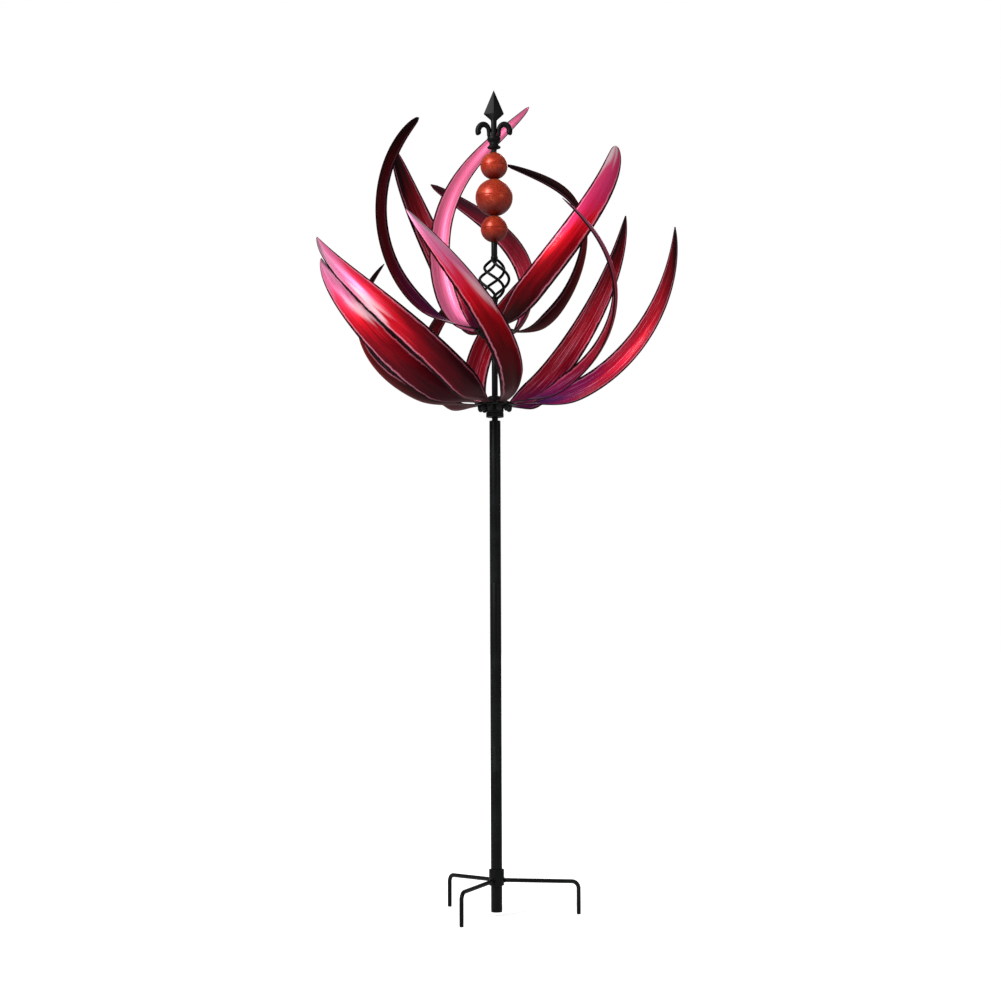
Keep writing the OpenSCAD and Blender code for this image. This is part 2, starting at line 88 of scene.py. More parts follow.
# root direction, sweep, ease, rise, change of bending radius (mm), upward stretch, change of roll,
# change of width (mm); then painted_shade (painted shade over a blade), painted_reflection (a rose painted
# reflection over a blade), crimson_tip_glare (a crimson middle and a painted glare at the tip) and
# root_dark_reach
BLADES = {
    "lower": [
        (-38, -31.1, 3.68, 93.6, -0.9, 1.02, -0.9, 1, 0.45, 0, 0, 0),
        (13.5, -22, 2.57, 88.5, 5.5, 1.09, -14.9, -10.6, 0.1, 0, 0, 0),
        (68.2, -32.9, 1.78, 108, -1.4, 1.01, -5.6, 0.3, 0, 0, 0, 0),
        (103.8, -30, 2.48, 94, -5.5, 1.04, 14.5, 3.4, 0.1, 0, 0, 0),
        (135.1, -36, 1.98, 84, -4, 1.08, 2, 0.1, 0.5, 0, 0, 0),
        (166.2, -33.4, 2.37, 92.5, -7.9, 1.02, 20, -4, 0.45, 0, 0, 0.3),
        (221.4, -33.7, 3.04, 85, -7, 1.01, -8.7, 0.5, 0, 0.03, 0, 0.5),
        (252.1, -55.9, 2.14, 89.5, 4.5, 0.99, 0.6, 1.3, 0, 0.03, 0.2, 0.6),
        (286.3, -43.4, 1.62, 89.8, 0.5, 1.03, 10.7, 2.4, 0, 0, 0.35, 0.75),
    ],
    "upper": [
        (33.8, 51.2, 7.5, 97, -25.8, 1.65, 0.2, -1.4, 0.85, 0, 0, 0),
        (70.8, 48.7, 4.94, 103.3, 1.4, 1.16, -2.4, 6.7, 0.25, 0.12, 0, 0),
        (107, 31.3, 2.45, 103.2, 8.6, 1.33, -1.2, 4.2, 0.55, 0, 0, 0),
        (137.4, -81.1, 4.43, 136.6, -90.5, 2.04, -0.7, -7.1, 0, 1, 0, 0),
        (209.3, 11.9, 1.27, 137.6, -9.3, 0.99, 7.4, -0.3, 0.9, 0, 0, 0),
        (282, 50.4, 1.54, 108.9, 1.4, 1.06, -2.6, 2, 0, 0, 1, 0.2),
    ],
}

# ---- Mesh making ----


def make_mesh(name, points, faces, smooth=True):
    """A mesh object at the origin from an array of points and a list of faces."""
    mesh = bpy.data.meshes.new(name)
    mesh.from_pydata(points.tolist(), [], faces)
    mesh.validate()
    mesh.polygons.foreach_set("use_smooth", np.full(len(mesh.polygons), smooth))
    piece = bpy.data.objects.new(name, mesh)
    bpy.context.scene.collection.objects.link(piece)
    return piece


def grid_faces(rows, cols, start=0):
    """Quads of a grid of rows whose columns close on themselves."""
    i, j = np.meshgrid(np.arange(rows - 1), np.arange(cols), indexing="ij")
    k = (j + 1) % cols
    quads = np.stack([i * cols + j, i * cols + k, (i + 1) * cols + k, (i + 1) * cols + j], -1)
    return (quads.reshape(-1, 4) + start).tolist()


def closed_skin(name, rings):
    """A closed piece from an array of rings (rows, columns, 3): quads between rings, a fan at each end.
    Each ring runs counter-clockwise as seen from the side that the rows grow towards."""
    rows, cols, _ = rings.shape
    points = rings.reshape(-1, 3)
    ends = np.stack([rings[0].mean(0), rings[-1].mean(0)])
    first, last = rows * cols, rows * cols + 1
    j = np.arange(cols)
    k = (j + 1) % cols
    bottom = np.stack([np.full(cols, first), k, j], -1).tolist()
    top = np.stack([np.full(cols, last), (rows - 1) * cols + j, (rows - 1) * cols + k], -1).tolist()
    return make_mesh(name, np.concatenate([points, ends]), grid_faces(rows, cols) + bottom + top)


def rounded(profile, bevel, steps=3):
    """Profile with each inner corner cut back by `bevel` and turned by a quadratic arc of `steps` points."""
    out = [profile[0]]
    for before, corner, after in zip(profile[:-2], profile[1:-1], profile[2:]):
        a, b = np.subtract(before, corner), np.subtract(after, corner)
        ra, rb = (min(bevel, 0.45 * np.linalg.norm(v)) / max(np.linalg.norm(v), 1e-9) for v in (a, b))
        p, q = corner + a * ra, corner + b * rb
        for s in np.linspace(0, 1, steps):
            out.append(tuple((1 - s) ** 2 * p + 2 * s * (1 - s) * np.array(corner) + s ** 2 * q))
    out.append(profile[-1])
    return out


def lathe(name, profile, bevel=0.0, sides=64, centre=(0.0, 0.0)):
    """A turned solid: the outline of (radius, height) points, from the axis at the bottom to the axis at
    the top, carried round the z axis; corners are rounded by `bevel`."""
    outline = np.array(rounded(profile, bevel) if bevel else profile, float)
    outline = outline[1:-1]
    a = np.arange(sides) * TAU / sides
    rings = np.stack([centre[0] + outline[:, :1] * np.cos(a), centre[1] + outline[:, :1] * np.sin(a),
                      np.repeat(outline[:, 1:], sides, 1)], -1)
    return closed_skin(name, rings)


def ring_lathe(name, profile, bevel=0.0, sides=64):
    """A turned ring: a closed outline of (radius, height) points, counter-clockwise, carried round the
    z axis, so that the hole stays open."""
    loop = list(profile)
    if bevel:
        loop = rounded([loop[-1]] + loop + [loop[0]], bevel)[1:-1]
    outline = np.array(loop, float)
    a = np.arange(sides) * TAU / sides
    rings = np.stack([outline[:, :1] * np.cos(a), outline[:, :1] * np.sin(a),
                      np.repeat(outline[:, 1:], sides, 1)], -1)
    rows = len(outline)
    i, j = np.meshgrid(np.arange(rows), np.arange(sides), indexing="ij")
    quads = np.stack([i * sides + j, i * sides + (j + 1) % sides,
                      (i + 1) % rows * sides + (j + 1) % sides, (i + 1) % rows * sides + j], -1)
    return make_mesh(name, rings.reshape(-1, 3), quads.reshape(-1, 4).tolist())


def unit(v):
    return v / np.linalg.norm(v, axis=-1, keepdims=True)


def swept(name, path, radii, up, sides=20):
    """A round bar: circles of the given radii round a path of points; `up` is any direction that is
    never along the path."""
    along = unit(np.gradient(path, axis=0))
    side = unit(np.cross(np.broadcast_to(up, path.shape), along))
    lift = np.cross(along, side)
    a = np.arange(sides) * TAU / sides
    rings = path[:, None] + np.reshape(radii, (-1, 1, 1)) * (
        side[:, None] * np.cos(a)[None, :, None] + lift[:, None] * np.sin(a)[None, :, None])
    return closed_skin(name, rings)


def merge(name, parts):
    """One object from several closed solids."""
    points, faces, start = [], [], 0
    for part in parts:
        count = len(part.data.vertices)
        co = np.empty(count * 3, np.float32)
        part.data.vertices.foreach_get("co", co)
        points.append(co.reshape(-1, 3))
        corners = np.empty(len(part.data.loops), np.int32)
        part.data.loops.foreach_get("vertex_index", corners)
        first = np.empty(len(part.data.polygons), np.int32)
        part.data.polygons.foreach_get("loop_start", first)
        faces += [face.tolist() for face in np.split(corners + start, first[1:])]
        start += count
        bpy.data.objects.remove(part)
    return make_mesh(name, np.concatenate(points), faces)


def sharpen(piece, angle=math.radians(35)):
    """Marks edges sharper than `angle` so that smooth shading stops at them: an edge is sharp where the
    normals of its two faces have a dot product below cos(angle)."""
    mesh = piece.data
    normals = np.empty(len(mesh.polygons) * 3)
    mesh.polygons.foreach_get("normal", normals)
    normals = normals.reshape(-1, 3)
    sides = np.empty(len(mesh.polygons), np.int32)
    mesh.polygons.foreach_get("loop_total", sides)
    edge = np.empty(len(mesh.loops), np.int32)
    mesh.loops.foreach_get("edge_index", edge)
    owner = np.repeat(np.arange(len(sides)), sides)[np.argsort(edge, kind="stable")]
    uses = np.bincount(edge, minlength=len(mesh.edges))
    paired = uses == 2
    first = (np.cumsum(uses) - uses)[paired]
    turn = (normals[owner[first]] * normals[owner[first + 1]]).sum(-1)
    sharp = np.zeros(len(mesh.edges), bool)
    sharp[paired] = turn < math.cos(angle)
    attribute = mesh.attributes.new("sharp_edge", "BOOLEAN", "EDGE")
    attribute.data.foreach_set("value", sharp)
    return piece


def finish_piece(piece, body, slot, material, *nodes):
    """Gives a new piece its material and body, and lets it stand for its CAD nodes; its slot argument is not
    used.
    """
    piece.data.materials.append(material)
    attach(piece, body)
    if nodes:
        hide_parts(*nodes)
    return piece


# ---- Shader helpers ----


class Shader:
    """A small builder for one material's or group's nodes."""

    def __init__(self, tree):
        self.nodes, self.links = tree.nodes, tree.links

    def add(self, kind, inputs=None, **settings):
        """A node with its settings, and its inputs as values or sockets."""
        node = self.nodes.new(kind)
        for key, value in settings.items():
            setattr(node, key, value)
        for key, value in (inputs or {}).items():
            self.put(node.inputs[key], value)
        return node

    def put(self, socket, value):
        if isinstance(value, bpy.types.NodeSocket):
            self.links.new(value, socket)
        else:
            socket.default_value = value

    def math(self, operation, *values, clamp=False):
        node = self.nodes.new("ShaderNodeMath")
        node.operation, node.use_clamp = operation, clamp
        for socket, value in zip(node.inputs, values):
            self.put(socket, value)
        return node.outputs[0]

    def span(self, value, start, end, to=(0.0, 1.0)):
        """Value eased from start..end to the two ends of `to`."""
        node = self.add("ShaderNodeMapRange", {"Value": value, "From Min": start, "From Max": end,
                                               "To Min": to[0], "To Max": to[1]},
                        interpolation_type="SMOOTHSTEP")
        return node.outputs["Result"]

    def mix(self, factor, first, second, blend="MIX"):
        node = self.nodes.new("ShaderNodeMix")
        node.data_type, node.blend_type = "RGBA", blend
        self.put(node.inputs[0], factor)
        self.put(node.inputs[6], first)
        self.put(node.inputs[7], second)
        return node.outputs[2]

    def ramp(self, value, stops, interpolation="EASE"):
        node = self.add("ShaderNodeValToRGB", {"Fac": value})
        node.color_ramp.interpolation = interpolation
        elements = node.color_ramp.elements
        while len(elements) < len(stops):
            elements.new(0.5)
        for element, (place, colour) in zip(elements, stops):
            element.position = place
            element.color = (*colour, 1)
        return node.outputs["Color"]

    def noise(self, vector, scale, detail=3.0, roughness=0.5):
        node = self.add("ShaderNodeTexNoise", {"Vector": vector, "Scale": scale, "Detail": detail,
                                               "Roughness": roughness})
        return node.outputs["Fac"]

    def attribute(self, name):
        return self.add("ShaderNodeAttribute", attribute_name=name).outputs["Fac"]

    def vector(self, x, y, z=0.0):
        return self.add("ShaderNodeCombineXYZ", {"X": x, "Y": y, "Z": z}).outputs[0]


def new_group(name, inputs, outputs):
    """An empty node group with named float inputs (name, default) and outputs (name, socket type)."""
    group = bpy.data.node_groups.new(name, "ShaderNodeTree")
    for label, value in inputs:
        socket = group.interface.new_socket(label, in_out="INPUT", socket_type="NodeSocketFloat")
        socket.default_value = value
    for label, kind in outputs:
        group.interface.new_socket(label, in_out="OUTPUT", socket_type=kind)
    shader = Shader(group)
    return group, shader, shader.add("NodeGroupInput"), shader.add("NodeGroupOutput")


def powder_grain_group():
    """Orange-peel and dust of a sprayed coat: fine noise for height, broad noise for a tone mask."""
    group, s, source, target = new_group(
        "powder_grain", [("Grain Scale", 900.0), ("Dust Scale", 14.0)],
        [("Height", "NodeSocketFloat"), ("Dust", "NodeSocketFloat")])
    place = s.add("ShaderNodeTexCoord").outputs["Object"]
    fine = s.noise(place, source.outputs["Grain Scale"], 2.0)
    broad = s.noise(place, source.outputs["Dust Scale"], 5.0, 0.6)
    s.put(target.inputs["Height"], fine)
    s.put(target.inputs["Dust"], s.span(broad, 0.45, 0.75))
    return group


POWDER_GRAIN = powder_grain_group()


def new_material(name):
    """A material with an empty Principled shader wired to its output."""
    material = bpy.data.materials.new(name)
    material.use_nodes = True
    s = Shader(material.node_tree)
    s.nodes.clear()
    shader = s.add("ShaderNodeBsdfPrincipled")
    output = s.add("ShaderNodeOutputMaterial")
    s.links.new(shader.outputs[0], output.inputs["Surface"])
    return material, s, shader


def coated_metal(name, colour, dusty, rough, grain=900.0, bump=0.06, specular=0.10):
    """Sprayed coat: a base colour that dust lifts in patches, with a fine orange-peel bump."""
    material, s, shader = new_material(name)
    grain_node = s.add("ShaderNodeGroup", node_tree=POWDER_GRAIN)
    grain_node.inputs["Grain Scale"].default_value = grain
    dust = grain_node.outputs["Dust"]
    s.put(shader.inputs["Base Color"], s.mix(dust, (*colour, 1), (*dusty, 1)))
    s.put(shader.inputs["Roughness"], s.span(dust, 0, 1, (rough, min(1, rough + 0.18))))
    bumped = s.add("ShaderNodeBump", {"Height": grain_node.outputs["Height"], "Strength": bump,
                                      "Distance": 0.0004})
    s.put(shader.inputs["Normal"], bumped.outputs[0])
    shader.inputs["Specular IOR Level"].default_value = specular
    return material


def turned_steel(name, colour, rough, metallic=1.0, rings=1800.0):
    """Bare turned metal: fine rings along z in roughness and bump, slightly mottled."""
    material, s, shader = new_material(name)
    place = s.add("ShaderNodeTexCoord").outputs["Object"]
    split = s.add("ShaderNodeSeparateXYZ", {"Vector": place})
    lines = s.noise(s.vector(0.0, 0.0, s.math("MULTIPLY", split.outputs["Z"], rings)), 1.0, 2.0)
    mottle = s.noise(place, 60.0, 3.0)
    darker = tuple(c * 0.7 for c in colour)
    s.put(shader.inputs["Base Color"], s.mix(mottle, (*colour, 1), (*darker, 1)))
    s.put(shader.inputs["Roughness"], s.span(lines, 0.3, 0.7, (rough, rough + 0.15)))
    shader.inputs["Metallic"].default_value = metallic
    bumped = s.add("ShaderNodeBump", {"Height": lines, "Strength": 0.1, "Distance": 0.0002})
    s.put(shader.inputs["Normal"], bumped.outputs[0])
    return material


# Root-to-tip colours of the convex and concave faces: partly the paint's own gradient and partly painted
# light. The pink toward the tip is a painted reflection, and the dark toward the root is partly painted
# shade.
OUTER_STOPS = [(0.0, (0.006, 0.003, 0.003)), (0.15, (0.026, 0.002, 0.002)), (0.31, (0.085, 0.001, 0.003)),
               (0.45, (0.21, 0.001, 0.004)), (0.58, (0.54, 0.002, 0.009)), (0.69, (0.62, 0.016, 0.050)),
               (0.81, (0.62, 0.13, 0.27)), (0.95, (0.66, 0.23, 0.39)), (1.0, (0.20, 0.09, 0.13))]
INNER_STOPS = [(0.0, (0.018, 0.005, 0.022)), (0.12, (0.075, 0.010, 0.090)), (0.26, (0.24, 0.007, 0.085)),
               (0.42, (0.44, 0.004, 0.024)), (0.66, (0.38, 0.003, 0.012)), (0.84, (0.13, 0.002, 0.005)),
               (0.94, (0.020, 0.003, 0.004)), (1.0, (0.007, 0.004, 0.004))]
# PALE_PINK is a painted highlight: the lit pink of the brushed streaks and of the line along each rim
PALE_PINK = (0.80, 0.26, 0.38, 1)
# the next colour is a painted glare, the pale band on one shoulder of each blade
GLARE_PINK = (0.88, 0.62, 0.68, 1)
# the next colour is a painted reflection that turns a whole blade rose
REFLECTED_ROSE = (0.58, 0.12, 0.24, 1)
CRIMSON = (0.50, 0.012, 0.085, 1)
EDGE_DARK = (0.007, 0.003, 0.004, 1)


def sheet_grain_and_glint_group():
    """Marks on a strip of brushed sheet, from its own `along` and `across` attributes: fine brushed
    lines, broad streaks that are brushed grain lit as a painted highlight, a ragged dark edge and a painted
    highlight line inside that edge."""
    group, s, source, target = new_group(
        "sheet_grain_and_glint", [("Lines", 34.0), ("Edge Start", 0.84)],
        [("Brushed", "NodeSocketFloat"), ("Streak Sheen", "NodeSocketFloat"), ("Edge", "NodeSocketFloat"),
         ("Edge Glint", "NodeSocketFloat")])
    along, across, seed = s.attribute("along"), s.attribute("across"), s.attribute("seed")
    lines = s.math("MULTIPLY", across, source.outputs["Lines"])
    brushed = s.noise(s.vector(s.math("MULTIPLY", along, 5.0), lines, seed), 1.0, 4.0, 0.6)
    broad_at = s.vector(s.math("MULTIPLY", along, 1.6), s.math("MULTIPLY", across, 6.0), seed)
    broad = s.noise(broad_at, 1.0, 3.0)
    streak_sheen = s.math("MULTIPLY", s.span(brushed, 0.55, 0.65), s.span(broad, 0.38, 0.55))
    chips = s.noise(s.vector(s.math("MULTIPLY", along, 26.0), across, seed), 1.0, 4.0, 0.65)
    ragged = s.math("ADD", s.math("MULTIPLY", s.math("SUBTRACT", brushed, 0.5), 0.20),
                    s.math("MULTIPLY", s.math("SUBTRACT", chips, 0.5), 0.22))
    place = s.math("ADD", s.math("ABSOLUTE", across), ragged)
    start = source.outputs["Edge Start"]
    edge = s.span(s.math("SUBTRACT", place, start), 0.0, 0.09)
    line = s.math("MULTIPLY", s.span(s.math("SUBTRACT", place, start), -0.09, -0.04),
                  s.span(s.math("SUBTRACT", place, start), 0.05, -0.01))
    for label, value in (("Brushed", brushed), ("Streak Sheen", streak_sheen), ("Edge", edge), ("Edge Glint", line)):
        s.put(target.inputs[label], value)
    return group


def blade_paint():
    """Candy paint over brushed steel, with painted light. The colour follows the attributes `along` (root 0
    to tip 1),
    `across` (-1 to 1) and `outer` (1 on the convex face): a gradient along the blade that is partly the
    paint and partly painted light, brushed streaks lit as a painted highlight, a painted glare band on one
    shoulder, a painted highlight line along the rim, and dark ragged edges. `painted_shade` darkens a blade
    as painted shade, `painted_reflection` turns it rose as a painted reflection,
    `crimson_tip_glare` turns its middle crimson and whitens its tip as a painted glare, and
    `root_dark_reach` carries the dark of its root, which is partly painted shade, further out."""
    material, s, shader = new_material("candy_blade_paint")
    streaks_and_glints = s.add("ShaderNodeGroup", node_tree=sheet_grain_and_glint_group())
    brushed = streaks_and_glints.outputs["Brushed"]
    along, across, seed = s.attribute("along"), s.attribute("across"), s.attribute("seed")
    outer = s.attribute("outer")
    place = s.vector(s.math("MULTIPLY", along, 2.2), s.math("MULTIPLY", across, 1.6), seed)
    wander = s.math("MULTIPLY", s.math("SUBTRACT", s.noise(place, 1.6, 4.0), 0.5), 0.34)
    diagonal = s.math("MULTIPLY", s.math("MULTIPLY", across, seed_sign(s, seed)), 0.10)
    warped = s.math("ADD", s.math("ADD", along, wander), diagonal)
    # the dark of the root, partly paint and partly painted shade, reaches further out on some blades
    dark_root_share = s.math("MULTIPLY", s.attribute("root_dark_reach"), s.span(along, 0.95, 0.35))
    warped = s.math("SUBTRACT", warped, s.math("MULTIPLY", dark_root_share, 0.17))
    # face colour along the blade: the paint's gradient, with a painted reflection toward the tip and painted
    # shade toward the root
    face = s.mix(outer, s.ramp(warped, INNER_STOPS), s.ramp(warped, OUTER_STOPS))
    # painted reflection: some blades turned rose all over, for the lit pink they show
    face = s.mix(s.math("MULTIPLY", s.attribute("painted_reflection"), 0.82), face, REFLECTED_ROSE)

    # pale pink streaks: brushed grain lit as a painted highlight, weaker on the convex face
    bare = s.span(warped, 0.45, 0.65, (1.0, 0.75))
    hide = s.math("SUBTRACT", 1.0, s.math("MULTIPLY", outer, bare))
    middle = s.math("MULTIPLY", s.span(along, 0.10, 0.30), s.span(along, 0.90, 0.62))
    streak_sheen = s.math("MULTIPLY", s.math("MULTIPLY", streaks_and_glints.outputs["Streak Sheen"], hide), middle)
    face = s.mix(streak_sheen, face, PALE_PINK)
    face = s.mix(s.math("MULTIPLY", s.span(brushed, 0.48, 0.30), 0.72), face, (0.03, 0.001, 0.004, 1))

    # painted glare: a pale band along one shoulder of the convex face
    shoulder = s.span(s.math("MULTIPLY", across, seed_sign(s, seed)), -0.1, 0.7)
    band = s.math("MULTIPLY", s.span(warped, 0.60, 0.68), s.span(warped, 0.84, 0.72))
    # a crimson middle, the paint's own, and a painted glare whitening the tip; where this is set, the
    # painted glare band is taken away
    crimson_tip_glare = s.attribute("crimson_tip_glare")
    crimson_share = s.span(crimson_tip_glare, 0.5, 1.0)
    painted_glare = s.math("MULTIPLY", s.math("MULTIPLY", shoulder, band), outer)
    painted_glare = s.math("MULTIPLY", painted_glare, s.math("SUBTRACT", 1.0, crimson_share))
    face = s.mix(s.math("MULTIPLY", painted_glare, 0.75), face, GLARE_PINK)
    deep = s.math("MULTIPLY", crimson_share, s.span(warped, 0.60, 0.76))
    face = s.mix(s.math("MULTIPLY", deep, 0.85), face, CRIMSON)
    # painted glare: the tip whitened
    tip = s.math("MULTIPLY", s.span(warped, 0.90, 1.02), crimson_tip_glare)
    face = s.mix(s.math("MULTIPLY", tip, 0.8), face, (0.55, 0.50, 0.52, 1))

    # painted highlight: a bright pink line inside each rim
    rim_glint = s.math("MULTIPLY", streaks_and_glints.outputs["Edge Glint"], s.span(along, 0.05, 0.45, (0.12, 0.6)))
    face = s.mix(rim_glint, face, PALE_PINK)
    # a ragged dark edge along each side of the blade
    face = s.mix(streaks_and_glints.outputs["Edge"], face, EDGE_DARK)
    # painted shade: whole blades darkened, most from the middle out
    painted_shade = s.math("MULTIPLY", s.attribute("painted_shade"), s.span(along, 0.12, 0.55, (0.35, 1.0)))
    face = s.mix(painted_shade, face, s.mix(1.0, face, (0.09, 0.05, 0.06, 1), "MULTIPLY"))

    s.put(shader.inputs["Base Color"], face)
    s.put(shader.inputs["Roughness"], s.span(brushed, 0.25, 0.75, (0.40, 0.54)))
    s.put(shader.inputs["Metallic"], s.span(brushed, 0.3, 0.7, (0.30, 0.50)))
    shader.inputs["Coat Weight"].default_value = 0.03
    shader.inputs["Coat Roughness"].default_value = 0.12
    shader.inputs["Specular IOR Level"].default_value = 0.10
    shader.inputs["Specular Tint"].default_value = (1.0, 0.45, 0.5, 1)
    bumped = s.add("ShaderNodeBump", {"Height": brushed, "Strength": 0.12, "Distance": 0.0004})
    s.put(shader.inputs["Normal"], bumped.outputs[0])
    return material


def seed_sign(s, seed):
    """+1 or -1 from a blade's seed, so that its glare sits on one shoulder."""
    return s.math("SUBTRACT", s.math("MULTIPLY", s.math("GREATER_THAN", seed, 0.0), 2.0), 1.0)


def crackled_copper():
    """Crackled copper lacquer: orange cells with fine dark seams, darker toward each ball's bottom as
    painted shade and lighter toward its top as painted highlight.
    """
    material, s, shader = new_material("crackled_copper")
    place = s.add("ShaderNodeTexCoord").outputs["Object"]
    warp = s.noise(place, 120.0, 4.0, 0.6)
    shift = s.vector(s.math("MULTIPLY", warp, 0.008), s.math("MULTIPLY", warp, 0.006))
    shifted = s.add("ShaderNodeVectorMath", {0: place, 1: shift}, operation="ADD").outputs[0]
    cells = s.add("ShaderNodeTexVoronoi", {"Vector": shifted, "Scale": 300.0},
                  feature="DISTANCE_TO_EDGE").outputs["Distance"]
    seams = s.span(cells, 0.0, 0.13)
    mottle = s.noise(place, 75.0, 6.0, 0.7)
    height = s.attribute("height")
    body = s.ramp(mottle, [(0.28, (0.24, 0.008, 0.004)), (0.5, (0.50, 0.034, 0.008)),
                           (0.72, (0.70, 0.10, 0.025))])
    # painted shade: darker toward each ball's bottom
    body = s.mix(s.span(height, 0.0, -0.9), body, (0.10, 0.005, 0.003, 1))
    # painted highlight: lighter orange toward each ball's top
    body = s.mix(s.math("MULTIPLY", s.span(height, 0.5, 0.95), 0.4), body, (0.66, 0.15, 0.07, 1))
    s.put(shader.inputs["Base Color"], s.mix(seams, (0.20, 0.012, 0.005, 1), body))
    s.put(shader.inputs["Roughness"], s.span(mottle, 0.3, 0.7, (0.30, 0.46)))
    shader.inputs["Metallic"].default_value = 0.35
    shader.inputs["Coat Weight"].default_value = 0.15
    shader.inputs["Coat Roughness"].default_value = 0.3
    shader.inputs["Specular IOR Level"].default_value = 0.3
    bumped = s.add("ShaderNodeBump", {"Height": s.math("ADD", seams, mottle), "Strength": 0.14,
                                      "Distance": 0.0005})
    s.put(shader.inputs["Normal"], bumped.outputs[0])
    return material


PAINT = blade_paint()
COPPER = crackled_copper()
BLACK_COAT = coated_metal("black_powder_coat", (0.003, 0.0033, 0.0036), (0.010, 0.011, 0.0115), 0.38)
CAST_BLACK = coated_metal("cast_black_iron", (0.003, 0.003, 0.0033), (0.012, 0.0117, 0.0114), 0.46,
                          grain=420.0, bump=0.22)
BLACK_BOLT = coated_metal("blackened_fastener", (0.005, 0.005, 0.0055), (0.022, 0.021, 0.020), 0.36)
BEARING_STEEL = turned_steel("ground_bearing_steel", (0.62, 0.63, 0.65), 0.14)
BARE_STEEL = turned_steel("drawn_bare_steel", (0.42, 0.43, 0.45), 0.30)
BRASS = turned_steel("pressed_brass", (0.62, 0.43, 0.17), 0.25)

# ---- Blades ----


def ease(x):
    """Smooth step: 3x^2 - 2x^3, held at 0 and 1."""
    c = np.clip(x, 0, 1)
    return c * c * (3 - 2 * c)


def blade_line(t, setting, level, z):
    """Centreline: radius = arc start + bend sin(rise t), height = z + stretch bend (1 - cos(rise t)),
    direction = root + sweep t^ease."""
    root, sweep, power, rise, change, stretch = setting[:6]
    a = np.radians(rise) * t
    bend = BEND[level] + change * MM
    r = ARC_START + bend * np.sin(a)
    turn = np.radians(root + sweep * np.power(t, power))
    return np.stack([r * np.cos(turn), r * np.sin(turn), z + stretch * bend * (1 - np.cos(a))], -1)


def blade_half(t, setting, level):
    """Half width: w/2 times a widening that eases from the tab's share to 1, times the taper
    (1 - far^power)^fullness, with far = 0 at the start of the taper and 1 at the tip."""
    widen, power, fullness = OUTLINE[level]
    w = WIDTH[level] + setting[7] * MM
    share = TAB_WIDTH / w
    widening = share + (1 - share) * ease(t / widen)
    far = np.clip((t - TAPER_FROM) / (1 - TAPER_FROM), 0, 1)
    return np.maximum(0.7 * MM, w / 2 * widening * np.power(1 - np.power(far, power), fullness))


def blade_frame(t, setting, level, z):
    """Point, across and outward directions along the centreline, rolled in over the first quarter."""
    root, sweep, power, rise = setting[:4]
    e = 0.004
    point = blade_line(t, setting, level, z)
    along = unit(blade_line(np.minimum(1, t + e), setting, level, z)
                 - blade_line(np.maximum(0, t - e), setting, level, z))
    turn = np.radians(root + sweep * np.power(t, power))
    a = np.radians(rise) * t
    out = np.stack([np.sin(a) * np.cos(turn), np.sin(a) * np.sin(turn), -np.cos(a)], -1)
    out = unit(out - along * (out * along).sum(-1, keepdims=True))
    side = np.cross(along, out)
    roll = np.radians(ROLL[level] + setting[6]) * ease(t / ROLLED_AT)[:, None]
    return point, side * np.cos(roll) + out * np.sin(roll), out * np.cos(roll) - side * np.sin(roll)


def section(columns, bead):
    """Closed section of the sheet in (across, face, rim) terms: `columns` points over the outer face, a
    rolled rim of `bead` points, then back over the inner face and round the other rim. Returns the share
    of the half width, the share of the half thickness, the sideways bulge and the outer flag."""
    v = np.linspace(-1, 1, columns)
    a = np.linspace(math.pi / 2, -math.pi / 2, bead + 2)[1:-1]
    rim_v, rim_t, rim_out = np.ones(bead), np.sin(a), np.cos(a)
    share = np.concatenate([v, rim_v, v[::-1], -rim_v])
    thick = np.concatenate([np.ones(columns), rim_t, -np.ones(columns), rim_t[::-1]])
    bulge = np.concatenate([np.zeros(columns), rim_out, np.zeros(columns), -rim_out[::-1]])
    outer = np.concatenate([np.ones(columns), np.ones(bead), np.zeros(columns), np.zeros(bead)])
    return share, thick, bulge, outer


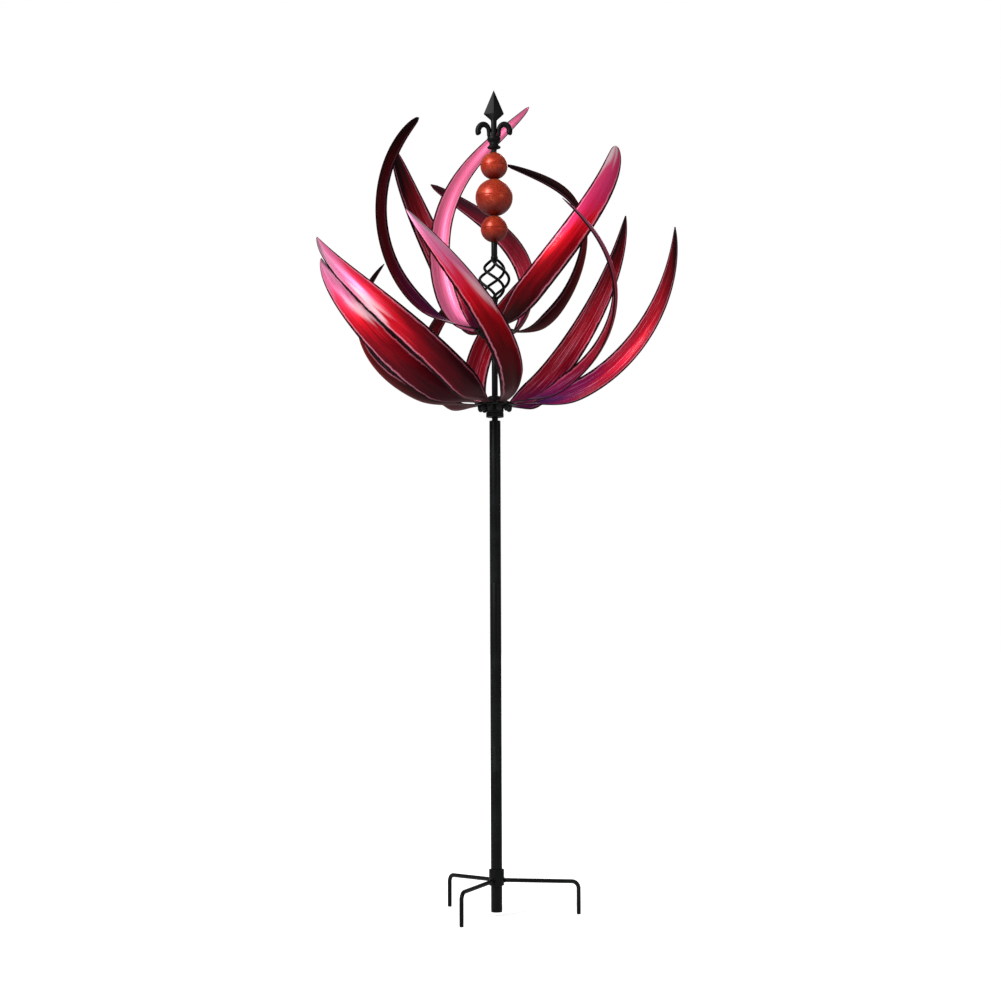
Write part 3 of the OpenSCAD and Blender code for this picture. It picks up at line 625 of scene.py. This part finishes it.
def blade(name, setting, level, z, seed):
    """A pointed trough of sheet: the section carried along the centreline. A point lies at
    line + across (v h + bulge) + outward (dish h (1 - v^2) + thickness), and the rims are 1.6 sheets
    thick. The flat tab lies on the hub plate."""
    t = np.linspace(0, 1, 112) ** 1.05
    point, across, out = blade_frame(t, setting, level, z)
    half = blade_half(t, setting, level)
    dish = TROUGH * ease(t / ROLLED_AT)
    root = math.radians(setting[0])
    tab_r = np.linspace(BOLT_REACH - TAB_WIDTH / 2, ARC_START, 9)[:-1]
    tab_half = TAB_WIDTH / 2 * np.minimum(1, 0.72 + 0.28 * (tab_r - tab_r[0]) / (2 * MM))
    radial = np.array([math.cos(root), math.sin(root), 0])
    tangent = np.array([-math.sin(root), math.cos(root), 0])
    tab_point = tab_r[:, None] * radial + [0, 0, z]
    point = np.concatenate([tab_point, point])
    across = np.concatenate([np.broadcast_to(tangent, tab_point.shape), across])
    out = np.concatenate([np.broadcast_to([0.0, 0.0, -1.0], tab_point.shape), out])
    half = np.concatenate([tab_half, half])
    dish = np.concatenate([np.zeros(len(tab_r)), dish])
    t_all = np.concatenate([np.zeros(len(tab_r)), t])

    share, thick, bulge, outer = section(25, 5)
    rim = 1 + 0.6 * ease((np.abs(share) - 0.88) / 0.12)[None, :] * ease(t_all / 0.12)[:, None]
    thickness = SHEET / 2 * thick * rim * np.minimum(1, half / (2.5 * MM))[:, None]
    wide = half[:, None] * share + SHEET / 2 * bulge
    deep = (dish * half)[:, None] * (1 - share ** 2) + thickness
    rings = point[:, None] + across[:, None] * wide[..., None] + out[:, None] * deep[..., None]
    piece = closed_skin(name, rings)
    rows, cols = rings.shape[:2]
    for label, values in (("along", np.repeat(t_all, cols)), ("across", np.tile(share, rows)),
                          ("outer", np.tile(outer, rows)), ("seed", np.full(rows * cols, seed)),
                          ("painted_shade", np.full(rows * cols, setting[8])),
                          ("painted_reflection", np.full(rows * cols, setting[9])),
                          ("crimson_tip_glare", np.full(rows * cols, setting[10])),
                          ("root_dark_reach", np.full(rows * cols, setting[11]))):
        ends = values.reshape(rows, cols)[[0, -1]].mean(1)
        attribute = piece.data.attributes.new(label, "FLOAT", "POINT")
        attribute.data.foreach_set("value", np.concatenate([values, ends]))
    return piece


def make_blades(level):
    """All blades of one rotor, each standing for its CAD node."""
    z = high(f"{level}_hub_plate") + SHEET / 2
    for i, setting in enumerate(BLADES[level]):
        node = f"{level}_blade_{i + 1}"
        seed = (3.7 * i + 1.3) * (-1 if i % 2 else 1)
        piece = blade(f"{level}_blade_sheet_{i + 1}", setting, level, z, seed)
        finish_piece(piece, f"{level}_rotor", "painted_blade", PAINT, node)


# ---- Hubs ----


def hexagon_nut(name, x, y, top):
    """Acorn nut: a chamfered hexagon under the plate with a dome below it. The section's radius is the
    hexagon's own, r = apothem / cos(angle to the nearest flat), blended to a circle by its chamfer."""
    sides = 48
    a = np.arange(sides) * TAU / sides
    apothem = 5.0 * MM
    flat = np.mod(a + math.pi / 6, math.pi / 3) - math.pi / 6
    hexagon = apothem / np.cos(flat)
    heights = np.array([-10.5, -10.3, -9.6, -8.2, -6.6, -5.2, -5.0, -4.7, -4.0, -0.7, -0.2, 0.0]) * MM
    circles = np.array([0.6, 1.6, 2.8, 3.9, 4.6, 4.75, 4.9, 5.2, 9, 9, 5.5, 5.1]) * MM
    r = np.minimum(circles[:, None], hexagon[None, :])
    rings = np.stack([x + r * np.cos(a), y + r * np.sin(a), np.repeat(top + heights[:, None], sides, 1)], -1)
    return closed_skin(name, rings)


def bolt_head(name, x, y, base):
    """Pan head: a low dome, r 4.9 mm, over a 1 mm cheek."""
    profile = [(0, 0), (4.9, 0), (4.9, 1.0), (4.55, 1.8), (3.8, 2.5), (2.6, 3.0), (1.2, 3.2), (0, 3.22)]
    profile = [(r * MM, base + h * MM) for r, h in profile]
    return lathe(name, profile, sides=28, centre=(x, y))


def make_hub(level):
    """Plate, bearing housing, dust cap, bolts and cap nuts of one rotor."""
    body = f"{level}_rotor"
    bottom, top = low(f"{level}_hub_plate"), high(f"{level}_hub_plate")
    bore = 8.5 * MM
    plate = ring_lathe(f"{level}_hub_disc", [(bore, bottom), (PLATE_R, bottom), (PLATE_R, top), (bore, top)],
                       0.5 * MM, 96)
    finish_piece(sharpen(plate), body, "black_powder_coat", BLACK_COAT, f"{level}_hub_plate")

    base = low(f"{level}_hub_housing")
    r, seat = radius(f"{level}_hub_housing"), radius(f"{level}_bearing_outer_ring") + 0.05 * MM
    shoulder = high(f"{level}_bearing_outer_ring") + 0.05 * MM
    housing = ring_lathe(f"{level}_bearing_housing",
                         [(seat, base), (r, base), (r, base + 7 * MM), (r - 0.6 * MM, base + 7.6 * MM),
                          (r - 0.6 * MM, base + 8.6 * MM), (r, base + 9.2 * MM), (r, bottom),
                          (bore, bottom), (bore, shoulder), (seat, shoulder)], 0.5 * MM)
    finish_piece(sharpen(housing), body, "black_powder_coat", BLACK_COAT, f"{level}_hub_housing")

    cap = radius(f"{level}_hub_dust_cap")
    cap_top = high(f"{level}_hub_dust_cap")
    hole = radius("middle_spacer") + 0.2 * MM
    shell = ring_lathe(f"{level}_dust_shell",
                       [(hole, cap_top - 3 * MM), (bore, cap_top - 3 * MM), (bore, top), (cap, top),
                        (cap, cap_top - 4 * MM), (cap - 2.5 * MM, cap_top - MM), (cap - 5 * MM, cap_top),
                        (hole, cap_top)], 0.6 * MM)
    finish_piece(sharpen(shell), body, "black_powder_coat", BLACK_COAT, f"{level}_hub_dust_cap")

    places = [(BOLT_REACH * math.cos(math.radians(s[0])), BOLT_REACH * math.sin(math.radians(s[0])))
              for s in BLADES[level]]
    nuts = merge(f"{level}_acorn_nuts", [hexagon_nut("nut", x, y, bottom) for x, y in places])
    finish_piece(sharpen(nuts), body, "black_fastener", BLACK_BOLT, f"{level}_blade_cap_nuts")
    heads = merge(f"{level}_pan_head_bolts", [bolt_head("head", x, y, top + SHEET) for x, y in places])
    finish_piece(sharpen(heads), body, "black_fastener", BLACK_BOLT, f"{level}_blade_bolts")


# ---- Stand ----


def round_tube(name, node, bore, bevel, material=BLACK_COAT, slot="black_powder_coat"):
    """A turned tube in the place of a CAD tube, with rounded rims."""
    r, bottom, top = radius(node), low(node), high(node)
    piece = ring_lathe(name, [(bore, bottom), (r, bottom), (r, top), (bore, top)], bevel, 72)
    return finish_piece(sharpen(piece), "stand", slot, material, node)


def weld_bead(name, centre, normal, r, bead=1.3 * MM):
    """A lumpy ring of weld round a bar of radius r: bead radius swells by a fifth in even ripples."""
    count, sides = 60, 10
    a = np.arange(count) * TAU / count
    axis = unit(np.array(normal, float))
    u = unit(np.cross(axis, [0.0, 0.0, 1.0]))
    w = np.cross(axis, u)
    outward = u * np.cos(a)[:, None] + w * np.sin(a)[:, None]
    size = bead * (1 + 0.2 * np.sin(11 * a))
    b = np.arange(sides) * TAU / sides
    rings = (np.array(centre) + outward[:, None] * (r + size[:, None, None] * 0.5 * np.cos(b)[None, :, None])
             + axis * (size[:, None, None] * 0.8 * np.sin(b)[None, :, None]))
    i, j = np.meshgrid(np.arange(count), np.arange(sides), indexing="ij")
    quads = np.stack([i * sides + j, (i + 1) % count * sides + j,
                      (i + 1) % count * sides + (j + 1) % sides, i * sides + (j + 1) % sides], -1)
    return make_mesh(name, rings.reshape(-1, 3), quads.reshape(-1, 4).tolist())


def make_fork():
    """Collar with its three bent legs and their weld beads."""
    round_tube("fork_sleeve", "fork_collar", 9.55 * MM, 0.8 * MM)
    r, bend, reach, droop = LEG_R, LEG_BEND, LEG_REACH, LEG_DROOP
    corner_z = LEG_HEIGHT - bend
    collar_r = radius("fork_collar")
    for i in range(3):
        turn = math.radians(LEG_TURN + 120 * i)
        radial = np.array([math.cos(turn), math.sin(turn), 0])
        arc = np.linspace(0, math.pi / 2 - droop, 22)
        bend_x, bend_z = reach - bend + bend * np.cos(arc), corner_z + bend * np.sin(arc)
        run = np.linspace(0, 1, 12)[1:]
        end_x = collar_r - 0.6 * MM
        slope = math.tan(droop)
        run_x = bend_x[-1] + (end_x - bend_x[-1]) * run
        run_z = bend_z[-1] + (bend_x[-1] - run_x) * slope
        rise = np.array([0.0, 0.25, 0.7, 1.4, 6, 15, 25, 35, 42]) * MM
        x = np.concatenate([np.full(len(rise), reach), bend_x, run_x])
        z = np.concatenate([rise, bend_z, run_z])
        radii = np.full(len(x), r)
        radii[:4] = r * np.array([0.72, 0.86, 0.96, 1.0])
        path = radial * x[:, None] + np.array([0, 0, 1]) * z[:, None]
        across = np.array([-radial[1], radial[0], 0])
        leg = swept(f"bent_leg_{i + 1}", path, radii, across, 24)
        finish_piece(leg, "stand", "black_powder_coat", BLACK_COAT, f"fork_leg_{i + 1}")
        weld = weld_bead(f"leg_weld_{i + 1}", radial * (collar_r + 0.4 * MM) + [0, 0, run_z[-1]],
                         radial, r)
        finish_piece(weld, "stand", "black_powder_coat", BLACK_COAT)


def make_pole():
    """Three pole sections, the spacers on the spindle and a washer on the pole's top plug."""
    for part in ("lower", "middle", "upper"):
        round_tube(f"pole_tube_{part}", f"pole_{part}", 8 * MM, 0.35 * MM)
    for part in ("neck", "middle", "upper"):
        round_tube(f"{part}_sleeve", f"{part}_spacer", 4.05 * MM, 0.25 * MM)
    plug = high("pole_plug")
    inner, outer, top = radius("neck_spacer"), 7.9 * MM, plug + 0.3 * MM
    lid = ring_lathe("pole_top_washer",
                     [(inner, plug), (outer, plug), (outer, top), (inner, top)], 0.1 * MM)
    finish_piece(lid, "stand", "black_powder_coat", BLACK_COAT)


def make_basket():
    """Four wires on a bulging helix: radius = near + (far - near) sin(pi t)^0.85, turning by WIRE_TWIST."""
    bottom, top = high("basket_lower_ferrule"), low("basket_upper_ferrule")
    near, far = WIRE_R * math.sqrt(2) + 0.1 * MM, radius("basket_wires") - WIRE_R
    t = np.linspace(0, 1, 90)
    r = near + (far - near) * np.power(np.sin(math.pi * t), 0.85)
    for i in range(4):
        a = np.radians(90 * i + WIRE_START + WIRE_TWIST * t)
        path = np.stack([r * np.cos(a), r * np.sin(a), bottom + (top - bottom) * t], -1)
        piece = helix_wire(f"basket_wire_{i + 1}", path, WIRE_R)
        finish_piece(piece, "stand", "black_powder_coat", BLACK_COAT, *(["basket_wires"] if i == 0 else []))
    for end in ("lower", "upper"):
        node = f"basket_{end}_ferrule"
        bottom, top, r = low(node), high(node), radius(node)
        ferrule = lathe(f"{end}_ferrule_turning",
                        [(0, bottom), (r - 0.8 * MM, bottom), (r, bottom + 1.5 * MM), (r, top - 1.5 * MM),
                         (r - 0.8 * MM, top), (0, top)], 0.5 * MM)
        finish_piece(sharpen(ferrule), "stand", "black_powder_coat", BLACK_COAT, node)


def helix_wire(name, path, r, sides=18):
    """A round wire whose section leans out from the z axis, so that it never twists on itself."""
    along = unit(np.gradient(path, axis=0))
    around = unit(np.cross([0.0, 0.0, 1.0], path * [1, 1, 0]))
    b = unit(around - along * (around * along).sum(-1, keepdims=True))
    n = np.cross(b, along)
    a = np.arange(sides) * TAU / sides
    round_about = n[:, None] * np.cos(a)[None, :, None] + b[:, None] * np.sin(a)[None, :, None]
    rings = path[:, None] + r * round_about
    return closed_skin(name, rings)


def make_balls():
    """Six spun half balls: a dense turned shell each, with a fine rolled seam at the equator."""
    hole = 4.1 * MM
    for which in ("bottom", "middle", "top"):
        lower, upper = f"{which}_ball_lower_half", f"{which}_ball_upper_half"
        centre = high(lower)
        r = radius(lower)
        wall = 1.2 * MM
        for node, sign in ((lower, -1), (upper, 1)):
            start = math.asin(hole / r)
            outside = np.linspace(start, math.pi / 2 - 0.012, 40)
            inside = np.linspace(math.pi / 2, math.asin(hole / (r - wall)), 30)
            seam = [(r - 0.12 * MM, 0.25 * MM), (r - 0.45 * MM, 0.0)]
            loop = [(r * math.sin(a), r * math.cos(a)) for a in outside] + seam
            loop += [((r - wall) * math.sin(a), (r - wall) * math.cos(a)) for a in inside]
            loop = [(x, centre + sign * h) for x, h in (loop[::-1] if sign > 0 else loop)]
            shell = ring_lathe(f"{which}_half_ball_{'upper' if sign > 0 else 'lower'}", loop, sides=96)
            co = np.empty(len(shell.data.vertices) * 3, np.float32)
            shell.data.vertices.foreach_get("co", co)
            height = shell.data.attributes.new("height", "FLOAT", "POINT")
            height.data.foreach_set("value", (co.reshape(-1, 3)[:, 2] - centre) / r)
            finish_piece(shell, "stand", "copper_ball", COPPER, node)
    r, thin = radius("top_rod"), radius("spindle")
    bottom, top = low("top_rod"), high("top_rod")
    step = low("bottom_ball_lower_half")
    rod = lathe("ball_rod",
                [(0, bottom), (r, bottom), (r, step), (thin, step + 0.2 * MM), (thin, top), (0, top)],
                0.3 * MM)
    finish_piece(sharpen(rod), "stand", "black_powder_coat", BLACK_COAT, "top_rod")


def make_finial():
    """Turned base, round-edged spear and two scrolls, all cast iron painted black."""
    base, top = low("finial_base"), high("finial_base")
    h = (top - base) / MM
    outline = [(4.05, 0), (4.9, 0), (4.6, 3), (5.0, 6), (11.2, 8), (12, 9.5), (10.8, 11), (8.2, 13),
               (7.5, 15.5), (8.2, 18), (10.5, 20), (11.5, 22.5), (11.5, h - 4), (11, h - 1), (10.2, h),
               (0.2, h)]
    outline = [(0.2, 13.9), (4.05, 13.9)] + outline
    turned = ring_lathe("finial_turning", [(r * MM, base + z * MM) for r, z in outline], 0.9 * MM, 72)
    finish_piece(sharpen(turned, math.radians(50)), "stand", "cast_iron_finial", CAST_BLACK, "finial_base")

    tip = high("finial_spear")
    head = tip - 52 * MM
    wide = head + 11 * MM
    half_wide, half_deep = 17.25 * MM, 8 * MM
    rows = [(top, 5.0, 5.0, 1.0), (top + 1 * MM, 5.0, 5.0, 1.0), (head - 3 * MM, 5.0, 5.0, 1.0),
            (head - 0.5 * MM, 5.2, 4.8, 1.1), (head + 0.8 * MM, 6.2, 5.0, 1.5)]
    rows = [(z, a * MM, b * MM, p) for z, a, b, p in rows]
    rows += [(head + 10.0 * MM, half_wide * 0.96, half_deep * 0.97, 2.6),
             (wide, half_wide, half_deep, 2.7)]
    for s in np.linspace(0.03, 0.97, 18):
        rows.append((wide + (tip - wide) * s, half_wide * (1 - s) + 0.4 * MM,
                     half_deep * (1 - s) + 0.3 * MM, 2.7))
    rows.append((tip, 0.35 * MM, 0.3 * MM, 1.5))
    sides = 64
    a = np.arange(sides) * TAU / sides
    rings = []
    for z, wide_r, deep_r, sharp in rows:
        c, s = np.cos(a), np.sin(a)
        power = 2 / (1 + (sharp - 1) / 1.6)
        reach = (np.abs(c) ** power + np.abs(s) ** power) ** (-1 / power)
        rings.append(np.stack([wide_r * reach * c, deep_r * reach * s, np.full(sides, z)], -1))
    spear = closed_skin("spear_head", np.array(rings))
    finish_piece(sharpen(spear, math.radians(40)), "stand", "cast_iron_finial", CAST_BLACK, "finial_spear")

    t = np.linspace(0, 1, 72)
    start, rise, lift = SCROLL_START, SCROLL_RISE, SCROLL_LIFT
    out = (SCROLL_WIDTH / 2 - start) / 2
    angle = np.radians(180 - 215 * (t - 0.2) / 0.8)
    early = t < 0.2
    x = np.where(early, start, start + out + out * np.cos(angle))
    z = top + np.where(early, rise * t / 0.2, rise + lift * np.sin(angle))
    radii = SCROLL_THIN_R + (SCROLL_THICK_R - SCROLL_THIN_R) * ease(t / 0.6)
    late = t > 0.94
    radii[late] = SCROLL_THICK_R * np.sqrt(np.clip(1 - ((t[late] - 0.94) / 0.062) ** 2, 0.02, 1))
    scrolls = []
    for sign in (1, -1):
        path = np.stack([sign * x, np.zeros_like(x), z], -1)
        scrolls.append(swept("scroll", path, radii, (0, 1, 0), 22))
    finish_piece(merge("fleur_scrolls", scrolls), "stand", "cast_iron_finial", CAST_BLACK, "finial_scrolls")


def repaint_hidden_parts():
    """The pieces inside the pole and hubs keep their CAD shape and get bare metal."""
    finishes = {"spindle": BARE_STEEL, "pole_plug": BARE_STEEL, "pole_joint_sleeves": BARE_STEEL}
    for level in ("lower", "upper"):
        finishes[f"{level}_bearing_cage"] = BRASS
        for part in ("inner_ring", "outer_ring", "balls"):
            finishes[f"{level}_bearing_{part}"] = BEARING_STEEL
    for node, material in finishes.items():
        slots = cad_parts[node].data.materials
        slots.clear()
        slots.append(material)


# ---- Stage ----


def make_stage():
    """A wide pale floor under the leg tips, lifted to white only where the camera sees it."""
    size = 30.0
    corners = np.array([(-size, -size, 0), (size, -size, 0), (size, size, 0), (-size, size, 0)])
    floor = make_mesh("pale_floor", corners - [0, 0, 0.0005], [[0, 1, 2, 3]])
    material, s, shader = new_material("pale_floor_paint")
    place = s.add("ShaderNodeTexCoord").outputs["Object"]
    grey = s.mix(s.noise(place, 3.0), (0.78, 0.78, 0.78, 1), (0.80, 0.80, 0.80, 1))
    s.put(shader.inputs["Base Color"], grey)
    shader.inputs["Roughness"].default_value = 0.9
    shader.inputs["Specular IOR Level"].default_value = 0.0
    shader.inputs["Emission Color"].default_value = (1, 1, 1, 1)
    seen = s.add("ShaderNodeLightPath").outputs["Is Camera Ray"]
    away = s.add("ShaderNodeVectorMath", {0: place}, operation="LENGTH").outputs["Value"]
    s.put(shader.inputs["Emission Strength"], s.math("MULTIPLY", seen, s.span(away, 0.6, 3.5, (0.62, 1.0))))
    floor.data.materials.append(material)


def soft_light(name, place, target, size, power, colour=(1, 1, 1)):
    """A square softbox at `place` that faces `target`."""
    light = bpy.data.lights.new(name, "AREA")
    light.shape, light.size, light.energy, light.color = "SQUARE", size, power, colour
    lamp = bpy.data.objects.new(name, light)
    lamp.location = place
    lamp.rotation_euler = (Vector(target) - Vector(place)).to_track_quat("-Z", "Y").to_euler()
    bpy.context.scene.collection.objects.link(lamp)


def make_lights():
    """A white backdrop over dimmer surroundings, a key softbox high on the left and two weaker ones."""
    world = bpy.data.worlds.new("white_room")
    bpy.context.scene.world = world
    world.use_nodes = True
    s = Shader(world.node_tree)
    background = world.node_tree.nodes["Background"]
    background.inputs["Color"].default_value = (1, 1, 1, 1)
    seen = s.add("ShaderNodeLightPath").outputs["Is Camera Ray"]
    s.put(background.inputs["Strength"], s.span(seen, 0, 1, (0.28, 1.0)))
    middle = (0, 0, 1.05)
    soft_light("key_softbox", (-2.4, -2.4, 3.0), middle, 1.0, 190)
    soft_light("fill_softbox", (2.6, -2.0, 1.4), middle, 1.4, 12)
    soft_light("back_softbox", (0.8, 2.8, 2.6), middle, 1.2, 32)


def make_camera():
    """The camera stands 3.4 m away at half a metre and looks slightly up at the middle of the pole."""
    distance, camera_z, target_z, off_axis = 3.4, 0.486, 0.698, 0.009
    picture_width = 1001 * 1.7 * MM
    data = bpy.data.cameras.new("studio_camera")
    data.sensor_width = 36
    data.lens = data.sensor_width * math.hypot(distance, target_z - camera_z) / picture_width
    camera = bpy.data.objects.new("studio_camera", data)
    place = Vector((off_axis, -distance, camera_z))
    look = (Vector((off_axis, 0, target_z)) - place).to_track_quat("-Z", "Y").to_matrix().to_4x4()
    camera.matrix_world = Matrix.Translation(place) @ look @ Matrix.Rotation(math.radians(-0.22), 4, "Z")
    bpy.context.scene.collection.objects.link(camera)
    bpy.context.scene.camera = camera


make_camera()
make_lights()
make_stage()
make_fork()
make_pole()
for rotor in ("lower", "upper"):
    make_hub(rotor)
    make_blades(rotor)
make_basket()
make_balls()
make_finial()
repaint_hidden_parts()
bpy.context.scene.view_settings.view_transform = "Standard"
